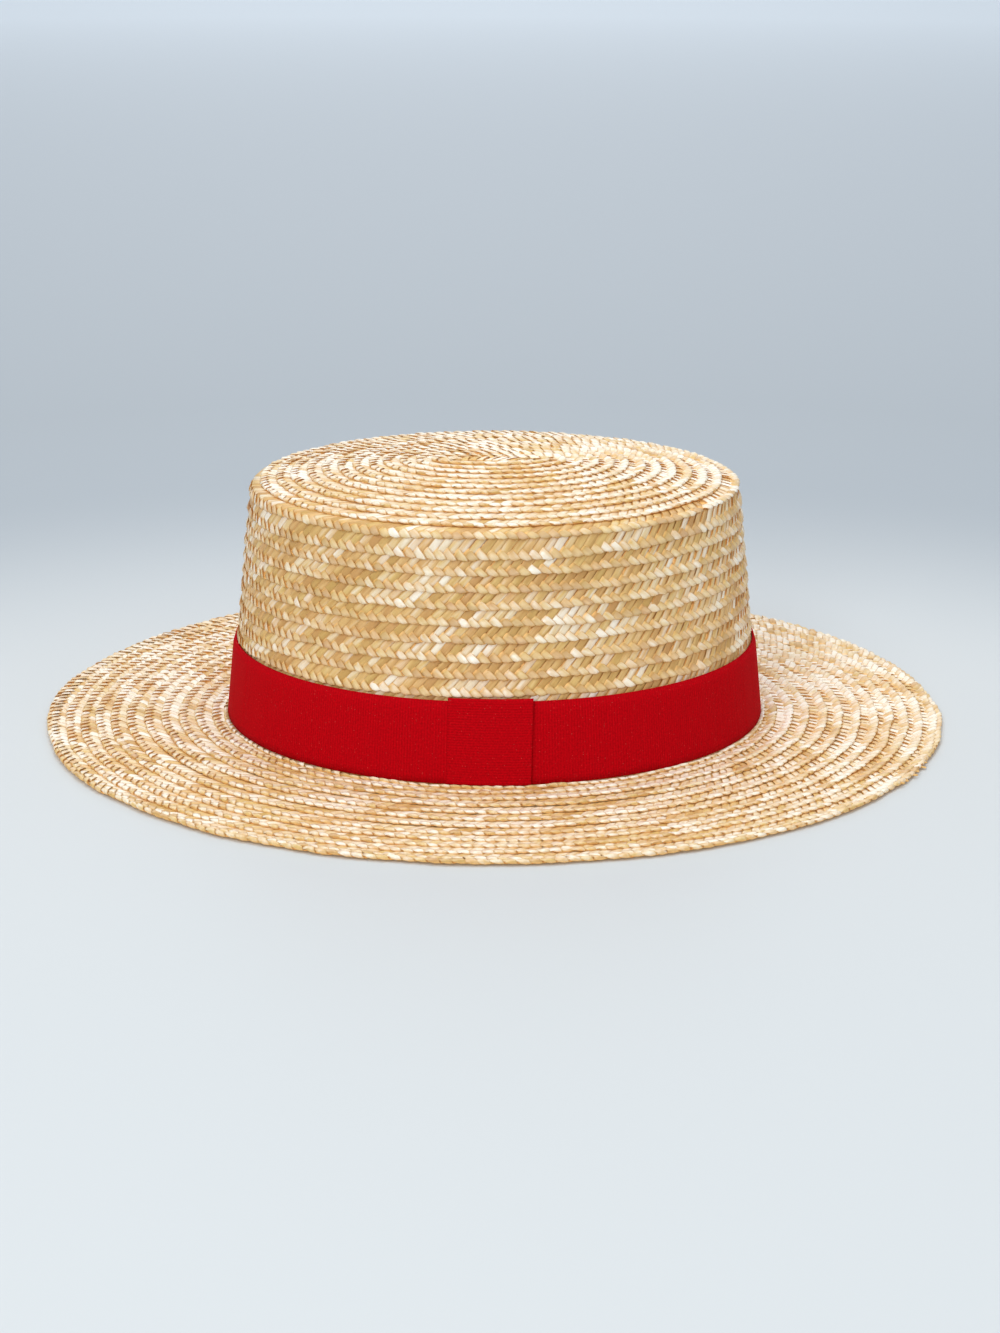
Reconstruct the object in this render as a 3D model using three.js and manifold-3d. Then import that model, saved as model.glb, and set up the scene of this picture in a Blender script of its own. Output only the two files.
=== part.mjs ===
// A straw boater hat at rest on its brim: a crown and a flat brim of sewn straw
// braid, a woven hat band round the foot of the crown, and a flat tab of the same
// ribbon wrapped over the band on the wearer's left.
// Millimetres, +Z up. The origin is on the surface that the brim lies on, under
// the middle of the hat. The wearer would face -X, and the tab is on the -Y side.

import * as THREE from "three";
import Module from "manifold-3d";
import { mergeVertices } from "three/addons/utils/BufferGeometryUtils.js";

// The plan of the hat is an oval. Every ring round it has the half width r along
// Y and r + ovalExtra along X.
const footLength = 202; // over the hat band, front to back
const footWidth = 174; // over the hat band, side to side
const brimWidth = 66.5; // from the band's foot to the brim's edge
const crownHeight = 90.7; // from the resting surface to the rim round the tip
const tipDome = 7.5; // rise of the tip from its rim to its middle
const crownLean = 9.6; // how far the wall comes in from its foot to the rim

// The straw braid, sewn row on row: each row starts under the one before it and
// rises to a lip along its outer or lower edge.
const strawWall = 1.7; // thickness of the braid where a row starts
const lipRise = 1.1; // how far each row's lip stands over the next row
const tipRows = 13; // rows from the middle of the tip to its rim
const rimRound = 3.7; // height of the row that turns over the rim
const wallRowPitch = 5.95; // from lip to lip down the wall
const brimRows = 11; // rows from the band's foot to the brim's edge
const underRowReach = 1.2; // how far the doubled row under the edge stands out
const underRowHeight = 1.3;

// The ribbon of the band and of the tab.
const ribbonWidth = 28.4;
const ribbonThickness = 1;
const tabWidth = 29.5; // length of the tab along the band
const tabShift = -2; // the tab's middle, along X

const seam = 0.3; // clearance between pieces that touch
const segments = 48; // sides of each ring, a multiple of 4

const ovalExtra = (footLength - footWidth) / 2;
const bandFoot = footWidth / 2; // r of the band's outer face at its foot
const wallFoot = bandFoot - ribbonThickness - seam; // r of the wall's lips there
const rimRadius = wallFoot - crownLean;
const brimEdge = bandFoot + brimWidth;
const lipDepth = strawWall + lipRise; // thickness of the braid at a lip
const crownFoot = strawWall + seam;
const bandBottom = crownFoot + ribbonThickness + seam; // room for the tab's fold
const bandTop = bandBottom + ribbonWidth;

const point = (r, z) => new THREE.Vector2(r, z);

// Half width of the wall over its lips, at a height.
function wallAt(z) {
  const share = (crownHeight - z) / (crownHeight - crownFoot);
  return rimRadius + crownLean * share;
}

// Height of the tip over its lips, at a half width.
function tipAt(r) {
  return crownHeight + tipDome * (1 - (r / rimRadius) ** 2);
}

// A geometry turned round the hat's axis from a profile of (r, z) points, then
// drawn out along X into the oval. A profile runs clockwise, seen with r to the
// right and z up, and goes from the axis back to the axis or closes on itself.
function turnOval(profile) {
  const turned = new THREE.LatheGeometry(profile.toReversed(), segments);
  turned.rotateX(Math.PI / 2);
  const position = turned.getAttribute("position");
  for (let i = 0; i < position.count; i++) {
    const turn = Math.floor(i / profile.length) / segments;
    const stretch = ovalExtra * Math.sin(2 * Math.PI * turn);
    position.setX(i, position.getX(i) + stretch);
  }
  turned.deleteAttribute("normal");
  turned.deleteAttribute("uv");
  return mergeVertices(turned, 1e-4);
}

// The rows over the tip, from its middle to the rim: each row climbs from
// under the lip before it to its own lip.
function tipProfile() {
  const pitch = rimRadius / tipRows;
  const points = [point(0, tipAt(0))];
  for (let row = 1; row <= tipRows; row++) {
    const lip = row * pitch;
    points.push(point(lip, tipAt(lip)));
    if (row < tipRows) points.push(point(lip, tipAt(lip) - lipRise));
  }
  return points;
}

// The rows down the wall, from the rim to the top of the band. Behind the band
// the wall is plain.
function wallProfile() {
  const points = [];
  for (let lip = crownHeight - rimRound; lip > bandTop; lip -= wallRowPitch) {
    points.push(point(wallAt(lip), lip));
    points.push(point(wallAt(lip) - lipRise, lip));
  }
  points.push(point(wallAt(bandTop), bandTop));
  points.push(point(wallAt(crownFoot), crownFoot));
  return points;
}

// The inside of the crown, from the foot of the wall up to the middle of the tip.
function crownInside() {
  const ceiling = crownHeight - lipDepth;
  const turnIn = wallAt(ceiling) - lipDepth;
  return [
    point(wallAt(crownFoot) - lipDepth, crownFoot),
    point(turnIn, ceiling - lipDepth),
    point(turnIn - lipDepth, tipAt(turnIn - lipDepth) - lipDepth),
    point(turnIn / 2, tipAt(turnIn / 2) - lipDepth),
    point(0, tipAt(0) - lipDepth),
  ];
}

function makeCrown() {
  return turnOval([...tipProfile(), ...wallProfile(), ...crownInside()]);
}

// The brim: a flat plate of rows round the head opening, with a second row
// under its outer edge. The crown, the band and the tab stand on its plain
// inner ring.
function makeBrim() {
  const opening = wallFoot - lipDepth;
  const seatEdge = bandFoot + ribbonThickness + 2 * seam;
  const upperEdge = brimEdge - underRowReach;
  const pitch = (upperEdge - bandFoot) / brimRows;
  const points = [point(opening, 0), point(opening, strawWall)];
  points.push(point(seatEdge, strawWall));
  for (let row = 1; row <= brimRows; row++) {
    const lip = bandFoot + row * pitch;
    points.push(point(lip, lipDepth));
    points.push(point(lip, row < brimRows ? strawWall : underRowHeight));
  }
  points.push(point(brimEdge, underRowHeight));
  points.push(point(brimEdge, 0), point(opening, 0));
  return turnOval(points);
}

// A closed section that follows the wall between two heights, from one distance
// outside the lips to another.
function alongWall(low, high, near, far) {
  return [
    point(wallAt(high) + near, high),
    point(wallAt(high) + far, high),
    point(wallAt(low) + far, low),
    point(wallAt(low) + near, low),
  ];
}

function makeBand() {
  const outer = seam + ribbonThickness;
  const section = alongWall(bandBottom, bandTop, seam, outer);
  return turnOval([...section, section[0]]);
}

const wasm = await Module();
wasm.setup();

function toSolid(geometry) {
  return new wasm.Manifold(
    new wasm.Mesh({
      numProp: 3,
      vertProperties: geometry.getAttribute("position").array,
      triVerts: new Uint32Array(geometry.index.array),
    }),
  );
}

function toGeometry(solid) {
  const mesh = solid.getMesh();
  const made = new THREE.BufferGeometry();
  const position = new THREE.BufferAttribute(mesh.vertProperties, 3);
  made.setAttribute("position", position);
  made.setIndex(new THREE.BufferAttribute(mesh.triVerts, 1));
  return made;
}

// The tab's ribbon runs up the outside of the band and folds over the band's
// upper and lower edges, as far as the wall.
function makeTab() {
  const inner = seam + ribbonThickness + seam;
  const outer = inner + ribbonThickness;
  const lowFold = bandBottom - seam;
  const highFold = bandTop + seam;
  const foot = lowFold - ribbonThickness;
  const head = highFold + ribbonThickness;
  const section = [
    ...alongWall(foot, head, seam, outer),
    point(wallAt(lowFold) + seam, lowFold),
    point(wallAt(lowFold) + inner, lowFold),
    point(wallAt(highFold) + inner, highFold),
    point(wallAt(highFold) + seam, highFold),
  ];
  const ring = toSolid(turnOval([...section, section[0]]));
  const slab = new THREE.BoxGeometry(tabWidth, footWidth, crownHeight);
  slab.translate(tabShift, -footWidth / 2, crownHeight / 2);
  slab.deleteAttribute("normal");
  slab.deleteAttribute("uv");
  return toGeometry(ring.intersect(toSolid(mergeVertices(slab))));
}

const straw = new THREE.MeshStandardMaterial({
  color: 0xdcb878,
  roughness: 0.5,
  metalness: 0,
});
const ribbon = new THREE.MeshStandardMaterial({
  color: 0xb0000f,
  roughness: 0.8,
  metalness: 0,
});

const hat = new THREE.Group();
for (const [name, geometry, material] of [
  ["crown", makeCrown(), straw],
  ["brim", makeBrim(), straw],
  ["hat_band", makeBand(), ribbon],
  ["band_tab", makeTab(), ribbon],
]) {
  const piece = new THREE.Mesh(geometry, material);
  piece.name = name;
  hat.add(piece);
}

export default hat;
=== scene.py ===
"""A straw boater hat at rest on its brim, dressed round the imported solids.

The crown, the brim and its doubled edge are plaited straw by straw from one bent
straw. The hat band and its tab are ribbed ribbon. Metres, +Z up.
"""

import math

import bmesh
import bpy
import numpy as np
from bpy.props import FloatProperty, FloatVectorProperty, IntProperty, PointerProperty
from mathutils import Matrix, Vector


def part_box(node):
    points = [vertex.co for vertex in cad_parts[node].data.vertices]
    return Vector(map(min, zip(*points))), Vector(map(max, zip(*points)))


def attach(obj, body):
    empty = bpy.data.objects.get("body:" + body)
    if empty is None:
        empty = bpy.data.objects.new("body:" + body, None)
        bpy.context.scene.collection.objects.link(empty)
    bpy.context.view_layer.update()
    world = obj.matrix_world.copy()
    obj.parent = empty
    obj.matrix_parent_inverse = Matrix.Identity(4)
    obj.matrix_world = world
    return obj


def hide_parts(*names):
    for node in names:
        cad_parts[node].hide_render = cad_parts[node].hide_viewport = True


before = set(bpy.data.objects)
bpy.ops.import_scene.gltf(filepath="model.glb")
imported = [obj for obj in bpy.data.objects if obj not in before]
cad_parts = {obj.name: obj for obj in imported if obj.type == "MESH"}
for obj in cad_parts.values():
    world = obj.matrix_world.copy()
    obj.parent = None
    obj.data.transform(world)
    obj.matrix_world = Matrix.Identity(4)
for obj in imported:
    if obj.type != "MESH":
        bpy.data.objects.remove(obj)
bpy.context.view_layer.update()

bl_info = {
    "name": "Straw Boater",
    "version": (1, 0, 0),
    "blender": (4, 5, 0),
    "location": "View3D > Sidebar > Boater",
    "description": "Plaits a straw boater hat and ties its ribbon band",
    "category": "Object",
}

CROWN_LOW, CROWN_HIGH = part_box("crown")
BRIM_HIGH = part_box("brim")[1]
BAND_LOW, BAND_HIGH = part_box("hat_band")
TAB_LOW, TAB_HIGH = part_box("band_tab")

# The plan of the hat is an oval: the half width r along Y and r + OVAL_EXTRA along X.
BRIM_EDGE = BRIM_HIGH.y
OVAL_EXTRA = BRIM_HIGH.x - BRIM_EDGE
WALL_FOOT = CROWN_HIGH.y
MM = 0.001
TAU = 2 * math.pi


class BoaterSizes(bpy.types.PropertyGroup):
    """Sizes of the straw and of the ribbon."""

    crown_height: FloatProperty(
        name="Crown height",
        description="From the resting surface to the rim round the tip",
        default=0.0907,
        unit="LENGTH",
    )
    rim_half_width: FloatProperty(
        name="Rim half width",
        description="Half width of the crown at its rim",
        default=0.0761,
        unit="LENGTH",
    )
    rim_rounding: FloatProperty(
        name="Rim rounding",
        description="Length of the bend that carries the braid over the rim",
        default=0.008,
        unit="LENGTH",
    )
    braid_width: FloatProperty(
        name="Braid width",
        description="Width of the flat braid, edge to edge",
        default=0.0076,
        unit="LENGTH",
    )
    braid_climb: FloatProperty(
        name="Braid climb",
        description="How far a row climbs from its hidden edge to its lip",
        default=0.00105,
        unit="LENGTH",
    )
    lip_depth: FloatProperty(
        name="Lip depth",
        description="From the outer face of a lip to the middle of its braid",
        default=0.0006,
        unit="LENGTH",
    )
    straw_pitch: FloatProperty(
        name="Straw pitch",
        description="From one straw to the next along the braid",
        default=0.00365,
        unit="LENGTH",
    )
    straw_thickness: FloatProperty(
        name="Straw thickness",
        description="Thickness of one flattened straw",
        default=0.00048,
        unit="LENGTH",
    )
    straw_tilt: FloatProperty(
        name="Straw tilt",
        description="How far one edge of each straw stands over its neighbour",
        default=0.0002,
        unit="LENGTH",
    )
    seed: IntProperty(
        name="Seed",
        description="Starting number of the straws' small differences",
        default=7,
        min=0,
    )
    ribbon_thickness: FloatProperty(
        name="Ribbon thickness",
        description="Thickness of the band's and the tab's ribbon",
        default=0.0007,
        unit="LENGTH",
    )
    rib_pitch: FloatProperty(
        name="Rib pitch",
        description="From one rib of the ribbon to the next",
        default=0.00095,
        unit="LENGTH",
    )


class BoaterColours(bpy.types.PropertyGroup):
    """Colours of the straw, the ribbon and the floor."""

    straw: FloatVectorProperty(
        name="Straw",
        description="Most of the straws",
        subtype="COLOR",
        default=(0.74, 0.49, 0.19),
    )
    # The pale straws, and also the painted highlight over the lips and the painted glints of
    # the pale runs.
    pale_straw_and_highlight: FloatVectorProperty(
        name="Pale straw",
        description="The bleached straws",
        subtype="COLOR",
        default=(0.95, 0.88, 0.74),
    )
    dark_straw: FloatVectorProperty(
        name="Dark straw",
        description="The few burnt straws",
        subtype="COLOR",
        default=(0.58, 0.34, 0.11),
    )
    # Painted shade: the straws' cut edges are browner, where shade falls between the tiles.
    painted_edge_shade: FloatVectorProperty(
        name="Straw edge",
        description="The cut edges of each straw",
        subtype="COLOR",
        default=(0.68, 0.40, 0.13),
    )
    # Painted warm shade and glow of the straw down in the crossings.
    painted_crossing_warmth: FloatVectorProperty(
        name="Deep straw",
        description="The straw down in the crossings, warmed by light that comes through",
        subtype="COLOR",
        default=(0.86, 0.50, 0.17),
    )
    ribbon: FloatVectorProperty(
        name="Ribbon",
        description="The band and its tab",
        subtype="COLOR",
        default=(0.46, 0.0, 0.004),
    )
    lint: FloatVectorProperty(
        name="Lint",
        description="The few pale specks on the ribbon",
        subtype="COLOR",
        default=(0.75, 0.22, 0.18),
    )
    floor: FloatVectorProperty(
        name="Floor",
        description="The floor near the hat",
        subtype="COLOR",
        default=(0.60, 0.64, 0.66),
    )
    middle_floor: FloatVectorProperty(
        name="Middle floor",
        description="The floor behind the hat",
        subtype="COLOR",
        default=(0.385, 0.435, 0.48),
    )
    # Painted light: the far floor is paler, making up for lamp light that falls off with
    # distance.
    far_floor_and_light: FloatVectorProperty(
        name="Far floor",
        description="The floor far from the hat",
        subtype="COLOR",
        default=(0.78, 0.88, 0.97),
    )


def sizes():
    return bpy.context.scene.boater_sizes


def colours():
    return bpy.context.scene.boater_colours


# The places along one straw where its path is given, and the one at the lip.
STATIONS, LIP_STATION = 16, 9
LIP_AT = 7.6  # from the braid's hidden edge to its lip, in millimetres
FACE_SLANT = 0.25  # sideways run for each millimetre across, in straw pitches
LIP_TURN = 1.44  # sideways run from the dive, round the lip and back to it
STRAW_REACH = 0.56  # half the width of one straw, in straw pitches

# The straws' tones drift along a row and differ from straw to straw. Some runs of
# straws are paler, partly faded straw and partly painted glint, and a few straws are burnt.
TONE_DRIFT, TONE_SPREAD = 0.12, 0.13
PALE_AND_GLINT_RUN, PALE_AND_GLINT_BY = 1.15, 0.26
BURNT_SHARE, BURNT_BY = 0.035, 0.42
# The tip and the brim are set paler than the wall, partly as painted sheen of the light from
# above.
TIP_TONE_AND_SHEEN, WALL_TONE, BRIM_TONE_AND_SHEEN, EDGE_TONE = 0.74, 0.46, 0.69, 0.55

# How far the rows wander sideways and in height, on the crown and on the brim. The
# crown's one row wanders between knots that are this far apart.
CROWN_SWAY, CROWN_SWELL, KNOT_PITCH = 0.22 * MM, 0.10 * MM, 12 * MM
BRIM_SWAY, BRIM_SWELL = 0.30 * MM, 0.14 * MM

ROW_TUCK = 1.4 * MM  # how far a row starts under the lip before it
START_DIP, START_RUN = 1.6 * MM, 6 * MM  # how the crown's row dips where it starts
SEAT_CLIMB = 1.3 * MM  # climb of the row that the crown and the band stand on
ROW_GAP = 0.03 * MM  # from the brim's rows down to the surface they lie on
LEAST_HEIGHT = 0.02 * MM  # the lowest that any point of the brim may lie
SOLID_LIP = 2.8 * MM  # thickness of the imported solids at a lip
BAND_PROUD = 1.2 * MM  # the band's outer face, over the wall's lips

# Where the face's straws dive under the lip's, across the braid in millimetres. The
# lower it is, the wider the rope along the lip.
TIP_DIVE, WALL_DIVE, BRIM_DIVE = 5.3, 5.35, 5.1


def straw_path(dive):
    """Path of one straw through the braid. Each station gives the distance across the
    braid from its hidden edge and the height over the braid's middle, both in
    millimetres, then how far the section turns to lie along the straw that crosses it,
    its thickness and width against a plain one, and how much it tilts. The straw starts
    under the hidden edge, runs down the face, dives, turns round the lip into a thick
    bead, comes back over the face and dives again."""
    return np.array(
        (
            (0.9, -0.34, 0.0, 0.8, 0.90, 0.5),
            (0.05, -0.12, 0.0, 0.8, 0.90, 0.5),
            (0.35, 0.14, 0.0, 0.8, 0.95, 0.5),
            (1.6, 0.20, 0.0, 0.8, 1.0, 0.9),
            (dive - 0.9, 0.24, 0.6, 0.9, 1.0, 0.9),
            (dive, 0.04, 1.0, 0.9, 1.0, 0.7),
            (dive + 0.5, -0.28, 0.5, 0.8, 1.0, 0.5),
            (7.1, -0.34, 0.0, 0.9, 1.0, 0.6),
            (7.5, -0.16, -0.05, 1.3, 0.94, 0.9),
            (LIP_AT, 0.14, -0.12, 1.7, 0.9, 1.1),
            (7.4, 0.40, -0.15, 1.7, 0.92, 1.1),
            (6.9, 0.46, -0.25, 1.5, 1.0, 1.1),
            (dive + 0.45, 0.34, -0.6, 1.3, 1.0, 1.0),
            (dive, 0.04, -1.0, 1.0, 1.0, 0.8),
            (dive - 0.7, -0.34, -0.5, 0.8, 1.0, 0.5),
            (0.4, -0.34, 0.0, 0.7, 0.9, 0.5),
        )
    )


def new_object(name, mesh):
    made = bpy.data.objects.new(name, mesh)
    bpy.context.scene.collection.objects.link(made)
    return made


def along_edges(bm):
    """Edges that run along Z."""
    return [e for e in bm.edges if abs(e.verts[0].co.z - e.verts[1].co.z) > 1e-4]


def store(mesh, label, values):
    """Keeps one number for each point of a mesh."""
    layer = mesh.attributes.new(label, "FLOAT", "POINT")
    layer.data.foreach_set("value", values.astype(np.float32))


def straight_straw():
    """One straight flattened straw: X across, Y through, Z along from 0 to 1."""
    bm = bmesh.new()
    bmesh.ops.create_cone(
        bm, cap_ends=True, segments=4, radius1=1.0, radius2=1.0, depth=1.0
    )
    bmesh.ops.translate(bm, verts=bm.verts, vec=(0.0, 0.0, 0.5))
    cuts = STATIONS - 2
    bmesh.ops.subdivide_edges(bm, edges=along_edges(bm), cuts=cuts, use_grid_fill=True)
    for face in bm.faces:
        face.smooth = True
    for edge in along_edges(bm):
        edge.smooth = all(abs(v.co.x) < 0.9 for v in edge.verts)
    across = bm.loops.layers.uv.new("StrawMap")
    for face in bm.faces:
        for loop in face.loops:
            loop[across].uv = (loop.vert.co.z, loop.vert.co.x * 0.5 + 0.5)
    mesh = bpy.data.meshes.new("straight_straw")
    bm.to_mesh(mesh)
    bm.free()
    return mesh


def row_of_straws(name, count):
    """A mesh of straight straws, one after another, and their places in one straw."""
    mesh = straight_straw()
    straw = new_object(name, mesh)
    copies = straw.modifiers.new("copies", "ARRAY")
    copies.count = count
    copies.use_relative_offset = False
    copies.use_constant_offset = True
    copies.constant_offset_displace = (3.0, 0.0, 0.0)
    place = np.empty(len(mesh.vertices) * 3, np.float32)
    mesh.vertices.foreach_get("co", place)
    place = place.reshape(-1, 3)
    graph = bpy.context.evaluated_depsgraph_get()
    whole = bpy.data.meshes.new_from_object(straw.evaluated_get(graph))
    whole.name = name
    straw.modifiers.clear()
    straw.data = whole
    bpy.data.meshes.remove(mesh)
    return straw, place


def noise_along(rng, count, reach):
    """Seeded noise of unit spread, alike over about `reach` neighbours."""
    raw = rng.standard_normal(count + 6 * reach)
    kernel = np.hanning(2 * reach + 1)
    kernel /= np.sqrt((kernel**2).sum())
    return np.convolve(raw, kernel, mode="same")[3 * reach : 3 * reach + count]


def plait(name, starts, pitch, rng, place_row, dive, usual_tone_and_sheen):
    """Bends and places one straw at each start along a row.

    `starts` are the places along the row, and `place_row` turns places along, across
    and over the row into points. `usual_tone_and_sheen` is the straws' usual tone, set paler
    on the tip and the brim as painted sheen of the light from above.
    """
    s = sizes()
    count = len(starts)
    straws, unit = row_of_straws(name, count)
    station = np.rint(unit[:, 2] * (STATIONS - 1)).astype(int)
    side = unit[:, 0]
    face = unit[:, 1]
    path = straw_path(dive)
    run_across = path[:, 0] * s.braid_width / path[LIP_STATION, 0]
    run_height = path[:, 1] * MM
    turned, puff, widen, lean = path[:, 2], path[:, 3], path[:, 4], path[:, 5]
    lip_slant = LIP_TURN / 2 / (LIP_AT - dive)
    stop = np.minimum(path[:, 0], dive)
    beyond = path[:, 0] - stop
    run = np.abs(np.diff(stop)) * FACE_SLANT + np.abs(np.diff(beyond)) * lip_slant
    travel = np.concatenate([[0.0], np.cumsum(run)]) * pitch
    middle = travel[LIP_STATION]
    down = np.arange(STATIONS) < LIP_STATION
    cut = np.where(down, lip_slant, FACE_SLANT) * pitch / MM
    way = np.gradient(np.stack([run_across, run_height], 1), axis=0)
    way /= np.linalg.norm(way, axis=1)[:, None]
    normal = np.stack([-way[:, 1], way[:, 0]], 1)

    def vary(spread, low=-2.2, high=2.2):
        return np.clip(rng.standard_normal(count), low, high)[:, None] * spread

    slant = 1 + vary(0.03)
    half = pitch * STRAW_REACH * (1 + vary(0.05))
    tilt = s.straw_tilt * (1 + vary(0.7))
    thick = s.straw_thickness / 2 * (1 + vary(0.2))
    lift = vary(0.05 * MM)
    reach = vary(0.12 * MM)
    shift = vary(0.14 * MM)
    width = side * half * widen[station]
    narrow = 1 + np.abs(turned[station])
    along = -slant * (travel[station] - middle) + width / narrow + shift
    over = face * thick * puff[station] - tilt * side * lean[station]
    across = run_across[station] + over * normal[station, 0]
    across = across + width * turned[station] / narrow / cut[station]
    across = across + reach * (run_across[station] / s.braid_width) ** 2
    height = run_height[station] + over * normal[station, 1] + lift
    points = place_row(starts[:, None] + along, across, height)
    straws.data.vertices.foreach_set("co", points.reshape(-1).astype(np.float32))

    tone = usual_tone_and_sheen + TONE_DRIFT * noise_along(rng, count, 3)
    tone = tone + TONE_SPREAD * rng.standard_normal(count)
    runs = noise_along(rng, count, 2)
    # Painted glints: the pale runs stand partly for tiles that catch the light.
    tone = np.where(runs > PALE_AND_GLINT_RUN, tone + PALE_AND_GLINT_BY, tone)
    tone = np.where(rng.random(count) < BURNT_SHARE, tone - BURNT_BY, tone)
    hue = rng.random(count)
    rise = np.tile(run_height[station] / run_height.max() * 0.5 + 0.5, count)
    store(straws.data, "tone", np.repeat(np.clip(tone, 0, 1), len(unit)))
    store(straws.data, "hue", np.repeat(hue, len(unit)))
    store(straws.data, "rise", np.clip(rise, 0, 1))
    straws.data.update()
    straws.data.materials.append(straw_material())
    return straws


def oval(r, z, angle):
    """Points of the oval of half width r, at a height and an angle."""
    x = (OVAL_EXTRA + r) * np.cos(angle)
    y = r * np.sin(angle)
    return np.stack([x, y, z + 0 * x], -1)


def crown_profile():
    """The crown's outer face from the middle of the tip to its foot: distance along
    it, half width, height and the outward direction."""
    s = sizes()
    step = 0.0001
    r_tip = np.arange(0, s.rim_half_width, step)
    dome = CROWN_HIGH.z - s.crown_height
    z_tip = s.crown_height + dome * (1 - (r_tip / s.rim_half_width) ** 2)
    drop = s.crown_height - CROWN_LOW.z
    lean = WALL_FOOT - s.rim_half_width
    down = np.arange(0, 1.0, step / math.hypot(drop, lean))
    r = np.concatenate([r_tip, s.rim_half_width + lean * down])
    z = np.concatenate([z_tip, s.crown_height - drop * down])
    window = int(s.rim_rounding / step / 2)
    kernel = np.hanning(2 * window + 1)
    kernel /= kernel.sum()
    mirrored_r = np.concatenate([-r[window:0:-1], r, 2 * r[-1] - r[-2 : -window - 2 : -1]])
    mirrored_z = np.concatenate([z[window:0:-1], z, 2 * z[-1] - z[-2 : -window - 2 : -1]])
    r = np.convolve(mirrored_r, kernel, mode="valid")
    z = np.convolve(mirrored_z, kernel, mode="valid")
    length = np.concatenate([[0], np.cumsum(np.hypot(np.diff(r), np.diff(z)))])
    dr, dz = np.gradient(r), np.gradient(z)
    size = np.hypot(dr, dz)
    return length, r, z, -dz / size, dr / size


# Turns of the spiral, counted at the front of the hat, and where each lip is there:
# half width over the tip, then height down the wall, in millimetres.
TIP_LIPS = ((0.0, 3.8), (12.0, 72.4))
WALL_LIPS = (
    (12.75, 88.0),
    (13.75, 81.0),
    (14.75, 75.4),
    (15.75, 69.4),
    (16.75, 63.4),
    (17.75, 57.7),
    (18.75, 51.8),
    (19.75, 45.4),
    (20.75, 39.3),
    (21.75, 33.3),
    (26.75, 3.6),
    (27.05, 2.2),
)


class CrownSpiral:
    """The one long row that winds from the middle of the tip down to the foot."""

    def __init__(self):
        s = sizes()
        self.length, self.r, self.z, self.out_r, self.out_z = crown_profile()
        wall = self.z < s.crown_height - MM
        turns = [t for t, _ in TIP_LIPS + WALL_LIPS]
        lips = [float(np.interp(r * MM, self.r, self.length)) for _, r in TIP_LIPS]
        for _, z in WALL_LIPS:
            down = -self.z[wall]
            lips.append(float(np.interp(-z * MM, down, self.length[wall])))
        step = 0.002
        self.turns = np.arange(0, turns[-1], step)
        self.lips = np.interp(self.turns, turns, lips)
        middle = np.maximum(self.lips - s.braid_width / 2, 2 * MM)
        r = np.interp(middle, self.length, self.r)
        angle = self.angle(self.turns)
        pace = np.hypot((OVAL_EXTRA + r) * np.sin(angle), r * np.cos(angle))
        self.along = np.concatenate([[0], np.cumsum(pace[1:] * np.diff(self.turns))])
        self.along *= TAU
        rng = np.random.default_rng(s.seed)
        knots = int(self.along[-1] / KNOT_PITCH)
        self.knots = np.linspace(0, self.along[-1], knots)
        self.sway = CROWN_SWAY * noise_along(rng, knots, 1)
        self.swell = CROWN_SWELL * noise_along(rng, knots, 1)

    def angle(self, turns):
        return math.pi - TAU * turns

    def at_turn(self, turn):
        return float(np.interp(turn, self.turns, self.along))

    def place(self, along, across, height):
        """Points of the row. Places along it run backwards, as seen from outside
        to the right, so that a straw's slant is the same on every piece. The first
        turn's hidden edge crosses the tip's middle and closes it."""
        s = sizes()
        gone = -along
        turns = np.interp(gone, self.along, self.turns)
        lip = np.interp(gone, self.along, self.lips)
        sway = np.interp(gone, self.knots, self.sway)
        swell = np.interp(gone, self.knots, self.swell)
        share = across / s.braid_width
        before = np.interp(turns - 1, self.turns, self.lips)
        start = np.minimum(lip - s.braid_width, before - ROW_TUCK)
        start = np.maximum(start, -ROW_TUCK)
        length = start + (lip + sway - start) * share
        length = np.minimum(length, self.length[-1])
        climb = s.braid_climb * (1 - share) * np.clip(turns, 0, 1)
        dip = START_DIP * np.clip(1 - gone / START_RUN, 0, 1) ** 2
        deep = height + swell * share - s.lip_depth - climb - dip
        out = np.abs(length)
        r = np.interp(out, self.length, self.r)
        z = np.interp(out, self.length, self.z)
        r = r + deep * np.interp(out, self.length, self.out_r)
        z = z + deep * np.interp(out, self.length, self.out_z)
        return oval(r * np.sign(length), z, self.angle(turns))


class BrimRing:
    """One closed row of the brim."""

    def __init__(self, lip, inner, low, high, rng):
        self.lip, self.inner, self.low, self.high = lip, inner, low, high
        middle = (lip + inner) / 2
        angle = np.linspace(0, TAU, 2001)
        pace = np.hypot((OVAL_EXTRA + middle) * np.sin(angle), middle * np.cos(angle))
        steps = (pace[1:] + pace[:-1]) / 2 * np.diff(angle)
        self.along = np.concatenate([[0], np.cumsum(steps)])
        self.angles = angle
        self.round = self.along[-1]
        fewest, most, fading = 3, 40, 14.0
        waves = np.arange(fewest, most)
        weight = 1 / np.sqrt(1 + (waves / fading) ** 2)
        weight /= np.sqrt((weight**2).sum())
        self.waves = waves
        self.sway = weight * rng.standard_normal(len(waves)) * BRIM_SWAY
        self.swell = weight * rng.standard_normal(len(waves)) * BRIM_SWELL
        self.phase = rng.random(len(waves)) * TAU

    def wave(self, angle, weights):
        total = 0 * angle
        for n, weight, phase in zip(self.waves, weights, self.phase):
            total = total + weight * np.sin(n * angle + phase)
        return total

    def place(self, along, across, height):
        s = sizes()
        angle = np.interp(along % self.round, self.along, self.angles)
        share = across / s.braid_width
        r = self.inner + (self.lip - self.inner) * share
        r = r + self.wave(angle, self.sway) * share
        z = self.low + (self.high - self.low) * share + height
        z = np.maximum(z + self.wave(angle, self.swell) * share, LEAST_HEIGHT)
        return oval(r, z, angle)


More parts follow.
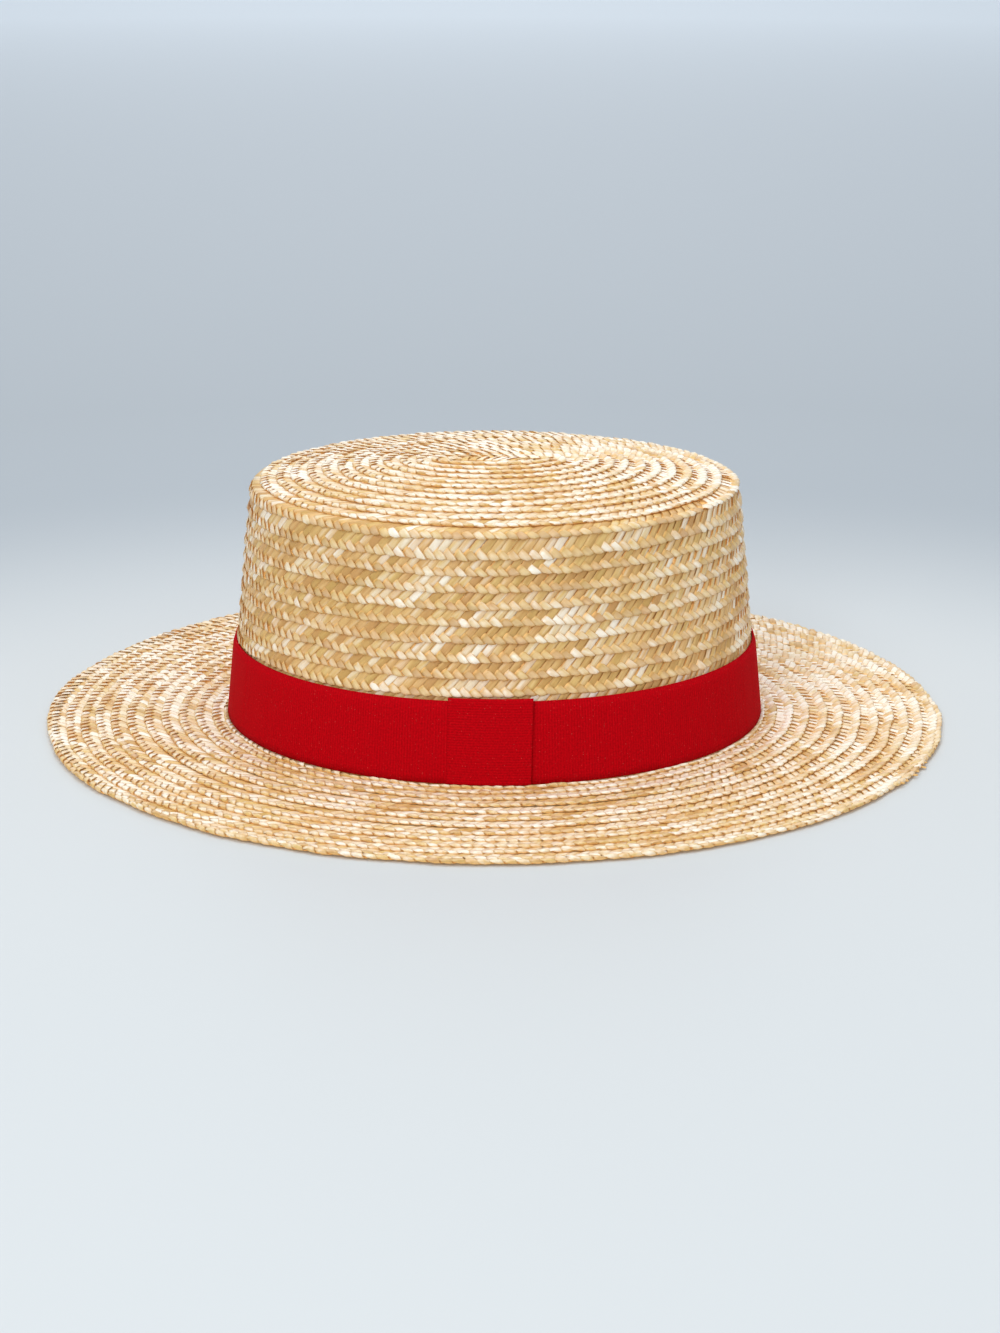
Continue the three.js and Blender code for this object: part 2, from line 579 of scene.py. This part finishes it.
# Lips of the brim's rows at the front, from the row hidden under the band outwards.
BRIM_LIPS = (88.3, 92.7, 98.6, 104.8, 111.4, 117.6, 124.1, 130.3, 135.9, 141.4, 146.8, 152.2)


def solid(colour):
    return (*colour, 1.0)


class MaterialNodes:
    """A new material, and short ways to add nodes to it."""

    def __init__(self, name):
        self.material = bpy.data.materials.new(name)
        self.material.use_nodes = True
        tree = self.material.node_tree
        self.nodes, self.links = tree.nodes, tree.links
        self.shader = self.nodes["Principled BSDF"].inputs

    def feed(self, socket, value):
        """Links an output to a socket, or sets the socket to a plain value."""
        if isinstance(value, bpy.types.NodeSocket):
            self.links.new(value, socket)
        else:
            socket.default_value = value

    def math(self, operation, *values):
        node = self.nodes.new("ShaderNodeMath")
        node.operation = operation
        for socket, value in zip(node.inputs, values):
            self.feed(socket, value)
        return node.outputs["Value"]

    def attribute(self, name):
        node = self.nodes.new("ShaderNodeAttribute")
        node.attribute_name = name
        return node.outputs["Fac"]

    def uv(self, name):
        node = self.nodes.new("ShaderNodeUVMap")
        node.uv_map = name
        return node.outputs["UV"]

    def split(self, vector):
        node = self.nodes.new("ShaderNodeSeparateXYZ")
        self.links.new(vector, node.inputs["Vector"])
        return node.outputs

    def mapped(self, vector, setting, value):
        """A vector moved or scaled by a Mapping node."""
        node = self.nodes.new("ShaderNodeMapping")
        node.inputs[setting].default_value = value
        self.links.new(vector, node.inputs["Vector"])
        return node.outputs["Vector"]

    def noise(self, vector, scale, detail):
        node = self.nodes.new("ShaderNodeTexNoise")
        node.inputs["Scale"].default_value = 1.0
        node.inputs["Detail"].default_value = detail
        self.links.new(self.mapped(vector, "Scale", scale), node.inputs["Vector"])
        return node.outputs["Fac"]

    def spread(self, value, start, end, smooth=False):
        """A value carried from the range `start` to the range `end`."""
        node = self.nodes.new("ShaderNodeMapRange")
        if smooth:
            node.interpolation_type = "SMOOTHSTEP"
        limits = ("From Min", "From Max", "To Min", "To Max")
        for limit, number in zip(limits, (*start, *end)):
            node.inputs[limit].default_value = number
        self.links.new(value, node.inputs["Value"])
        return node.outputs["Result"]

    def mix(self, share, first, second):
        """A colour that goes from the first to the second as `share` goes to 1."""
        node = self.nodes.new("ShaderNodeMix")
        node.data_type = "RGBA"
        self.links.new(share, node.inputs["Factor"])
        sockets = [socket for socket in node.inputs if socket.type == "RGBA"]
        for socket, colour in zip(sockets, (first, second)):
            self.feed(socket, colour)
        return next(socket for socket in node.outputs if socket.type == "RGBA")

    def ramp(self, value, stops):
        """A colour ramp through stops of (place, colour)."""
        node = self.nodes.new("ShaderNodeValToRGB")
        elements = node.color_ramp.elements
        for number, (place, colour) in ((0, stops[0]), (1, stops[-1])):
            elements[number].position = place
            elements[number].color = colour
        for place, colour in stops[1:-1]:
            elements.new(place).color = colour
        self.links.new(value, node.inputs["Fac"])
        return node.outputs["Color"]

    def bump(self, height, strength, distance):
        node = self.nodes.new("ShaderNodeBump")
        node.inputs["Strength"].default_value = strength
        node.inputs["Distance"].default_value = distance
        self.links.new(height, node.inputs["Height"])
        self.links.new(node.outputs["Normal"], self.shader["Normal"])


def straw_material():
    """Flattened straw: each straw its own tone, with fibres along it, edges that curl
    down and a glossy coat, with painted highlight over the lips and painted shade down in
    the crossings and along the cut edges."""
    name = "golden_straw"
    if name in bpy.data.materials:
        return bpy.data.materials[name]
    c = colours()
    made = MaterialNodes(name)
    made.shader["Roughness"].default_value = 0.42
    made.shader["Specular IOR Level"].default_value = 0.3
    made.shader["Coat Roughness"].default_value = 0.2
    made.shader["Coat IOR"].default_value = 1.6
    tone = made.attribute("tone")
    hue = made.attribute("hue")
    rise = made.attribute("rise")
    straw_map = made.uv("StrawMap")

    # Each straw reads the noises at a place of its own.
    shift = made.nodes.new("ShaderNodeVectorMath")
    shift.operation = "MULTIPLY_ADD"
    shift.inputs[1].default_value = (37.0, 53.0, 71.0)
    made.links.new(hue, shift.inputs[0])
    made.links.new(straw_map, shift.inputs[2])
    fibres = made.noise(shift.outputs["Vector"], (3.0, 22.0, 1.0), 2.0)
    patches = made.noise(shift.outputs["Vector"], (5.0, 1.5, 1.0), 1.0)

    # The straw's colour, from its tone, its patches and its fibres; the patches are partly
    # painted glints over parts of the tiles.
    patch_share, fibre_share, usual = 0.95, 0.30, 0.62
    patched = made.math("MULTIPLY_ADD", patches, patch_share, tone)
    streaked = made.math("MULTIPLY_ADD", fibres, fibre_share, patched)
    stops = [(0.18, solid(c.dark_straw))]
    for place, share in ((0.46, 0.0), (0.62, 0.25), (0.80, 0.62)):
        blend = [a + (b - a) * share for a, b in zip(c.straw, c.pale_straw_and_highlight)]
        stops.append((place, solid(blend)))
    stops.append((1.0, solid(c.pale_straw_and_highlight)))
    warmth = made.nodes.new("ShaderNodeHueSaturation")
    made.links.new(made.spread(hue, (0.0, 1.0), (0.492, 0.508)), warmth.inputs["Hue"])
    toned = made.ramp(made.math("SUBTRACT", streaked, usual), stops)
    made.links.new(toned, warmth.inputs["Color"])

    # Painted highlight: paler over the lips. Painted shade: deeper and warmer down in the
    # crossings, browner along the cut edges.
    surface = made.spread(rise, (0.25, 0.70), (0.0, 1.0))
    # Painted highlight: the raised lips are paler.
    lip = made.spread(rise, (0.78, 1.0), (0.0, 0.2))
    pale_and_highlight = made.mix(lip, warmth.outputs["Color"], solid(c.pale_straw_and_highlight))
    # Painted warm shade fills the low parts of each straw, down in the crossings.
    crossing_painted = made.mix(surface, solid(c.painted_crossing_warmth), pale_and_highlight)
    across = made.math("SUBTRACT", made.split(straw_map)["Y"], 0.5)
    off_middle = made.math("ABSOLUTE", across)
    # Painted shade along each straw's cut edges.
    edge_shade_mask = made.spread(off_middle, (0.38, 0.46), (0.0, 0.85))
    edge_shaded = made.mix(edge_shade_mask, crossing_painted, solid(c.painted_edge_shade))
    made.links.new(edge_shaded, made.shader["Base Color"])

    # A faint glow down in the crossings stands in for light that comes through.
    made.shader["Emission Color"].default_value = solid(c.painted_crossing_warmth)
    glow = made.spread(surface, (0.0, 1.0), (0.19, 0.0))
    made.links.new(glow, made.shader["Emission Strength"])
    gloss = made.spread(tone, (0.45, 0.85), (0.12, 0.6))
    made.links.new(gloss, made.shader["Coat Weight"])

    # The section curls down towards the cut edges, with the fibres on it.
    curled = made.math("MULTIPLY", made.math("POWER", off_middle, 3.0), -8.0)
    made.bump(made.math("MULTIPLY_ADD", fibres, 0.2, curled), 1.0, 0.25 * MM)
    return made.material


def ribbon_material(name, rib_count):
    """Matt ribbon: `rib_count` fine ribs over its map, as stripes of painted shade and
    highlight, a soft grain and pale lint.
    """
    c = colours()
    made = MaterialNodes(name)
    made.shader["Roughness"].default_value = 0.9
    made.shader["Specular IOR Level"].default_value = 0.06
    ribbon_map = made.uv("RibbonMap")
    # Painted shade and highlight: the colour darkens and lightens across each rib, with the
    # grain added.
    turn = made.math("MULTIPLY", made.split(ribbon_map)["X"], TAU * rib_count)
    worn = made.noise(ribbon_map, (rib_count * 0.12, 1.2, 1.0), 2.0)
    depth = made.math("MULTIPLY", worn, 0.22)
    ribs = made.math("MULTIPLY", made.math("SINE", turn), depth)
    grain = made.noise(ribbon_map, (rib_count * 1.3, 40.0, 1.0), 2.0)
    stops = []
    for place, share in ((0.25, 0.76), (0.75, 1.16)):
        stops.append((place, solid([v * share for v in c.ribbon])))
    rib_shade_and_grain = made.ramp(made.math("ADD", ribs, grain), stops)
    specks = made.noise(ribbon_map, (rib_count * 1.5, 110.0, 1.0), 0.0)
    lint = made.spread(specks, (0.79, 0.86), (0.0, 0.4))
    made.links.new(made.mix(lint, rib_shade_and_grain, solid(c.lint)), made.shader["Base Color"])
    made.bump(grain, 0.3, 0.2 * MM)
    return made.material


def wall_at(z):
    """Half width of the wall over its lips, at a height."""
    s = sizes()
    share = (s.crown_height - z) / (s.crown_height - CROWN_LOW.z)
    return s.rim_half_width + (WALL_FOOT - s.rim_half_width) * share


def ribbon_piece(name, bm, uv_of, material, points):
    """Gives a sheet its map, moves it to its place and makes it ribbon."""
    ribbon_map = bm.loops.layers.uv.new("RibbonMap")
    for face in bm.faces:
        face.smooth = True
        middle = face.calc_center_median()
        for loop in face.loops:
            loop[ribbon_map].uv = uv_of(loop.vert.co, middle)
    mesh = bpy.data.meshes.new(name)
    bm.to_mesh(mesh)
    bm.free()
    place = np.empty(len(mesh.vertices) * 3, np.float32)
    mesh.vertices.foreach_get("co", place)
    placed = points(place.reshape(-1, 3))
    mesh.vertices.foreach_set("co", placed.reshape(-1).astype(np.float32))
    mesh.materials.append(material)
    mesh.update()
    piece = new_object(name, mesh)
    thick = piece.modifiers.new("thickness", "SOLIDIFY")
    thick.thickness = sizes().ribbon_thickness
    thick.offset = -1.0
    return piece


def seat_brim_rows():
    """The brim's rows as (lip, inner edge, low, high) in metres."""
    s = sizes()
    opening = WALL_FOOT - SOLID_LIP
    middle = s.lip_depth + ROW_GAP
    rows = []
    for lip in BRIM_LIPS:
        inner = max(lip * MM - s.braid_width, opening)
        high = middle + s.braid_climb
        if inner == opening:
            high = middle + SEAT_CLIMB
        rows.append((lip * MM, inner, middle, high))
    return rows


class BOATER_OT_crown(bpy.types.Operator):
    """Plait the crown as one row that winds from the tip's middle to its foot"""

    bl_idname = "boater.crown"
    bl_label = "Crown Braid"

    def execute(self, context):
        s = sizes()
        spiral = CrownSpiral()
        tip_end, upper_end, foot = 12.6, 19.3, WALL_LIPS[-1][0]
        pieces = (
            ("tip_braid", 0.0, tip_end, TIP_DIVE, TIP_TONE_AND_SHEEN),
            ("wall_braid_upper", tip_end, upper_end, WALL_DIVE, WALL_TONE),
            ("wall_braid_lower", upper_end, foot, WALL_DIVE, WALL_TONE),
        )
        for number, (name, first, last, dive, usual_tone_and_sheen) in enumerate(pieces):
            rng = np.random.default_rng([s.seed, number])
            begin, end = spiral.at_turn(first), spiral.at_turn(last)
            count = int((end - begin) / s.straw_pitch)
            starts = -(begin + s.straw_pitch * (0.5 + np.arange(count)))
            piece = plait(
                name, starts, s.straw_pitch, rng, spiral.place, dive, usual_tone_and_sheen
            )
            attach(piece, "root")
            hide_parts("crown")
        return {"FINISHED"}


class BOATER_OT_brim(bpy.types.Operator):
    """Plait the brim's rows, ring by ring"""

    bl_idname = "boater.brim"
    bl_label = "Brim Braid"

    def execute(self, context):
        s = sizes()
        rows = seat_brim_rows()
        for name, first, last in (
            ("brim_braid_inner", 0, 5),
            ("brim_braid_middle", 5, 9),
            ("brim_braid_outer", 9, 12),
        ):
            rng = np.random.default_rng([s.seed, 10 + first])
            rings, starts, ring_of = [], [], []
            for number, row in enumerate(rows[first:last]):
                ring = BrimRing(*row, rng)
                rings.append(ring)
                count = int(round(ring.round / s.straw_pitch))
                starts.append((np.arange(count) + rng.random()) * ring.round / count)
                ring_of.append(np.full(count, number))
            ring_of = np.concatenate(ring_of)

            def place(along, across, height, rings=rings, ring_of=ring_of):
                points = np.empty((*along.shape, 3))
                for number, ring in enumerate(rings):
                    own = ring_of == number
                    points[own] = ring.place(along[own], across[own], height[own])
                return points

            starts = np.concatenate(starts)
            piece = plait(name, starts, s.straw_pitch, rng, place, BRIM_DIVE, BRIM_TONE_AND_SHEEN)
            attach(piece, "root")
            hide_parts("brim")
        return {"FINISHED"}


class BOATER_OT_edge(bpy.types.Operator):
    """Plait the doubled row under the brim's edge, a little thicker than the rest"""

    bl_idname = "boater.edge"
    bl_label = "Brim Edge"

    def execute(self, context):
        s = sizes()
        rng = np.random.default_rng([s.seed, 30])
        proud, reach, climb = 0.2 * MM, 5.8 * MM, 0.6 * MM
        low = s.lip_depth + proud
        ring = BrimRing(BRIM_EDGE + proud, BRIM_EDGE - reach, low, low + climb, rng)
        calmer, thicker, pitch = 0.2, 1.3, 4.1 * MM
        ring.swell = ring.swell * calmer
        count = int(round(ring.round / pitch))
        starts = np.arange(count) * ring.round / count

        def place(along, across, height):
            return ring.place(along, across, height * thicker)

        piece = plait("brim_edge_row", starts, pitch, rng, place, BRIM_DIVE, EDGE_TONE)
        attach(piece, "root")
        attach(self.loose_ends(rng), "root")
        return {"FINISHED"}

    def loose_ends(self, rng):
        """The few straw ends that stand out where the doubled row was cut off."""
        bm = bmesh.new()
        ends, first, step, stray = 6, -33, 1.7, 0.6
        size = Matrix.Diagonal((0.4 * MM, 0.8 * MM, 2.8 * MM, 1.0))
        for number in range(ends):
            angle = math.radians(first + step * number + rng.uniform(-stray, stray))
            out = rng.uniform(-0.6, 0.5) * MM
            x, y, z = oval(BRIM_EDGE + out, rng.uniform(0.7, 1.5) * MM, angle)
            aim = Matrix.Rotation(angle + rng.uniform(-0.9, 0.2), 4, "Z")
            dip = Matrix.Rotation(math.radians(90 + rng.uniform(-14, 8)), 4, "Y")
            bmesh.ops.create_cone(
                bm,
                cap_ends=True,
                segments=6,
                radius1=1.0,
                radius2=0.7,
                depth=1.0,
                matrix=Matrix.Translation((x, y, z)) @ aim @ dip @ size,
            )
        mesh = bpy.data.meshes.new("brim_edge_ends")
        bm.to_mesh(mesh)
        bm.free()
        for label, value in (("tone", 0.45), ("hue", 0.7), ("rise", 0.62)):
            store(mesh, label, np.full(len(mesh.vertices), value))
        mesh.materials.append(straw_material())
        ends = new_object("brim_edge_ends", mesh)
        return ends


class BOATER_OT_band(bpy.types.Operator):
    """Tie the ribbed band round the foot of the crown"""

    bl_idname = "boater.band"
    bl_label = "Hat Band"

    def execute(self, context):
        s = sizes()
        round_band = TAU * (WALL_FOOT + OVAL_EXTRA / 2)
        ribs = int(round(round_band / s.rib_pitch))
        foot = BAND_LOW.z - 0.9 * MM
        rib_depth, edge_depth, edge_share = 0.11 * MM, 0.03 * MM, 0.02
        drawn_by, drawn_from = 0.6 * MM, 0.92
        bm = bmesh.new()
        bmesh.ops.create_cone(
            bm, cap_ends=False, segments=ribs * 2, radius1=1.0, radius2=1.0, depth=1.0
        )
        bmesh.ops.subdivide_edges(bm, edges=along_edges(bm), cuts=9, use_grid_fill=True)

        def uv_of(co, middle):
            turn = math.atan2(co.y, co.x) / TAU
            half = math.atan2(middle.y, middle.x) / TAU
            turn += round(half - turn)
            return turn, co.z

        def points(place):
            angle = np.arctan2(place[:, 1], place[:, 0])
            share = place[:, 2] + 0.5
            z = foot + (BAND_HIGH.z - foot) * share
            rib = np.rint(angle / TAU * ribs * 2).astype(int) % 2
            inside = (share > edge_share) & (share < 1 - edge_share)
            ribbed = np.where(inside, rib * rib_depth, edge_depth)
            drawn_in = drawn_by * np.clip((share - drawn_from) / (1 - drawn_from), 0, 1)
            r = wall_at(z) + BAND_PROUD - ribbed - drawn_in
            return oval(r, z, angle)

        material = ribbon_material("ribbed_ribbon", ribs)
        piece = ribbon_piece("hat_band_ribbon", bm, uv_of, material, points)
        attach(piece, "root")
        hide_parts("hat_band")
        return {"FINISHED"}


class BOATER_OT_tab(bpy.types.Operator):
    """Wrap the tab over the band on the wearer's left"""

    bl_idname = "boater.tab"
    bl_label = "Band Tab"

    def execute(self, context):
        s = sizes()
        foot, head = TAB_LOW.z, TAB_HIGH.z
        # How the ribbon folds over the band's two edges: distance out from the wall's
        # lips and distance in from the tab's end, in millimetres.
        fold = ((0.3, 0.9), (0.6, 0.27), (1.54, 0.1), (2.2, 0.9))
        section = [(wall_at(foot) + out * MM, foot + back * MM) for out, back in fold]
        for out, back in reversed(fold):
            section.append((wall_at(head) + out * MM, head - back * MM))
        corners = np.array(section)
        rib_depth = 0.10 * MM
        near, far = 0.62, 1.08  # how far the tab's two side edges stand out
        shift, lean = 1.1 * MM, 0.8 * MM  # how far it sits and leans to one side
        along = np.concatenate(
            [[0], np.cumsum(np.linalg.norm(np.diff(corners, axis=0), axis=1))]
        )
        ribs = int(round(along[-1] / s.rib_pitch))
        bm = bmesh.new()
        bmesh.ops.create_grid(bm, x_segments=40, y_segments=ribs * 2, size=0.5)

        def uv_of(co, middle):
            return co.y, co.x

        def points(place):
            here = (place[:, 1] + 0.5) * along[-1]
            r = np.interp(here, along, corners[:, 0])
            z = np.interp(here, along, corners[:, 1])
            row = np.rint((place[:, 1] + 0.5) * ribs * 2).astype(int) % 2
            r = r - row * rib_depth
            lift = near + (far - near) * (place[:, 0] + 0.5)
            r = wall_at(z) + (r - wall_at(z)) * lift
            x = TAB_LOW.x + (TAB_HIGH.x - TAB_LOW.x) * (place[:, 0] + 0.5)
            x = x - shift - lean * (head - z) / (head - foot)
            angle = -np.arccos(x / (OVAL_EXTRA + r))
            return oval(r, z, angle)

        material = ribbon_material("ribbed_tab", ribs)
        piece = ribbon_piece("band_tab_ribbon", bm, uv_of, material, points)
        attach(piece, "root")
        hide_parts("band_tab")
        return {"FINISHED"}


def add_light(name, place, target, width, power, colour):
    lamp = bpy.data.lights.new(name, "AREA")
    lamp.shape = "DISK"
    lamp.size = width
    lamp.energy = power
    lamp.color = colour
    made = new_object(name, lamp)
    made.location = place
    aim = Vector(target) - Vector(place)
    made.rotation_euler = aim.to_track_quat("-Z", "Y").to_euler()


class BOATER_OT_stage(bpy.types.Operator):
    """Set the camera, the floor and the studio lights"""

    bl_idname = "boater.stage"
    bl_label = "Studio"

    def execute(self, context):
        scene = context.scene
        c = colours()
        target = Vector((0.001981, 0.0, 0.017132))
        distance = 0.957161
        rise, turn, roll = math.radians(18.272), math.radians(-1.332), math.radians(0.164)
        back = Vector(
            (
                math.sin(turn) * math.cos(rise),
                -math.cos(turn) * math.cos(rise),
                math.sin(rise),
            )
        )
        right = Vector((math.cos(turn), math.sin(turn), 0.0))
        up = back.cross(right)
        level = right * math.cos(roll) + up * math.sin(roll)
        tall = up * math.cos(roll) - right * math.sin(roll)
        lens = bpy.data.cameras.new("camera")
        lens.sensor_width = 36.0
        lens.lens = 68.427
        lens.clip_start = 0.01
        camera = new_object("camera", lens)
        turned = Matrix((level, tall, back)).transposed().to_4x4()
        camera.matrix_world = Matrix.Translation(target + back * distance) @ turned
        scene.camera = camera

        bm = bmesh.new()
        bmesh.ops.create_circle(bm, cap_ends=True, segments=96, radius=14.0)
        mesh = bpy.data.meshes.new("floor")
        bm.to_mesh(mesh)
        bm.free()
        floor = new_object("floor", mesh)
        mesh.materials.append(floor_material())

        middle = (0, 0, 0.05)
        add_light("key", (-0.9, -1.1, 1.7), middle, 1.0, 11, (1.0, 0.985, 0.96))
        add_light("front", (-0.55, -1.75, 0.75), middle, 0.6, 7.5, (0.98, 0.99, 1.0))
        add_light("top", (0.1, 0.3, 2.1), middle, 1.4, 14.5, (1.0, 1.0, 1.0))
        add_light("back", (0.0, 5.5, 2.6), middle, 4.0, 30, (1.0, 1.0, 1.0))
        add_light("fill", (1.5, -0.9, 0.9), middle, 1.0, 3, (1.0, 0.99, 0.98))
        world = bpy.data.worlds.new("studio")
        world.use_nodes = True
        sky = world.node_tree.nodes["Background"]
        sky.inputs["Color"].default_value = (0.78, 0.80, 0.83, 1.0)
        sky.inputs["Strength"].default_value = 0.78
        scene.world = world
        scene.view_settings.view_transform = "Standard"
        return {"FINISHED"}


def floor_material():
    """Pale floor, near white round the hat and pale grey-blue behind it, paler again far
    off, where painted light makes up for the lamps' falloff.
    """
    c = colours()
    made = MaterialNodes("pale_floor")
    made.shader["Roughness"].default_value = 0.55
    made.shader["Specular IOR Level"].default_value = 0.25
    where = made.nodes.new("ShaderNodeTexCoord")
    centred = made.mapped(where.outputs["Object"], "Location", (0.0, 0.25, 0.0))
    away = made.nodes.new("ShaderNodeVectorMath")
    away.operation = "LENGTH"
    made.links.new(centred, away.inputs[0])
    distance = away.outputs["Value"]
    fade = made.spread(distance, (0.33, 0.62), (0.0, 1.0), smooth=True)
    behind = made.spread(distance, (0.8, 4.0), (0.0, 1.0))
    # Painted light: paler far off, where the lamps reach less.
    far = made.ramp(behind, [(0.0, solid(c.middle_floor)), (1.0, solid(c.far_floor_and_light))])
    made.links.new(made.mix(fade, solid(c.floor), far), made.shader["Base Color"])
    return made.material


class BOATER_PT_panel(bpy.types.Panel):
    """The boater's pieces, sizes and colours"""

    bl_label = "Straw Boater"
    bl_idname = "BOATER_PT_panel"
    bl_space_type = "VIEW_3D"
    bl_region_type = "UI"
    bl_category = "Boater"

    def draw(self, context):
        for group in (context.scene.boater_sizes, context.scene.boater_colours):
            box = self.layout.box()
            for name in group.__annotations__:
                box.prop(group, name)
        for operator in OPERATORS:
            self.layout.operator(operator.bl_idname)


OPERATORS = (
    BOATER_OT_stage,
    BOATER_OT_crown,
    BOATER_OT_brim,
    BOATER_OT_edge,
    BOATER_OT_band,
    BOATER_OT_tab,
)
CLASSES = (BoaterSizes, BoaterColours, *OPERATORS, BOATER_PT_panel)


def register():
    for each in CLASSES:
        bpy.utils.register_class(each)
    bpy.types.Scene.boater_sizes = PointerProperty(type=BoaterSizes)
    bpy.types.Scene.boater_colours = PointerProperty(type=BoaterColours)


def unregister():
    del bpy.types.Scene.boater_colours
    del bpy.types.Scene.boater_sizes
    for each in reversed(CLASSES):
        bpy.utils.unregister_class(each)


def main():
    register()
    bpy.ops.boater.stage()
    bpy.ops.boater.crown()
    bpy.ops.boater.brim()
    bpy.ops.boater.edge()
    bpy.ops.boater.band()
    bpy.ops.boater.tab()


if __name__ == "__main__":
    main()
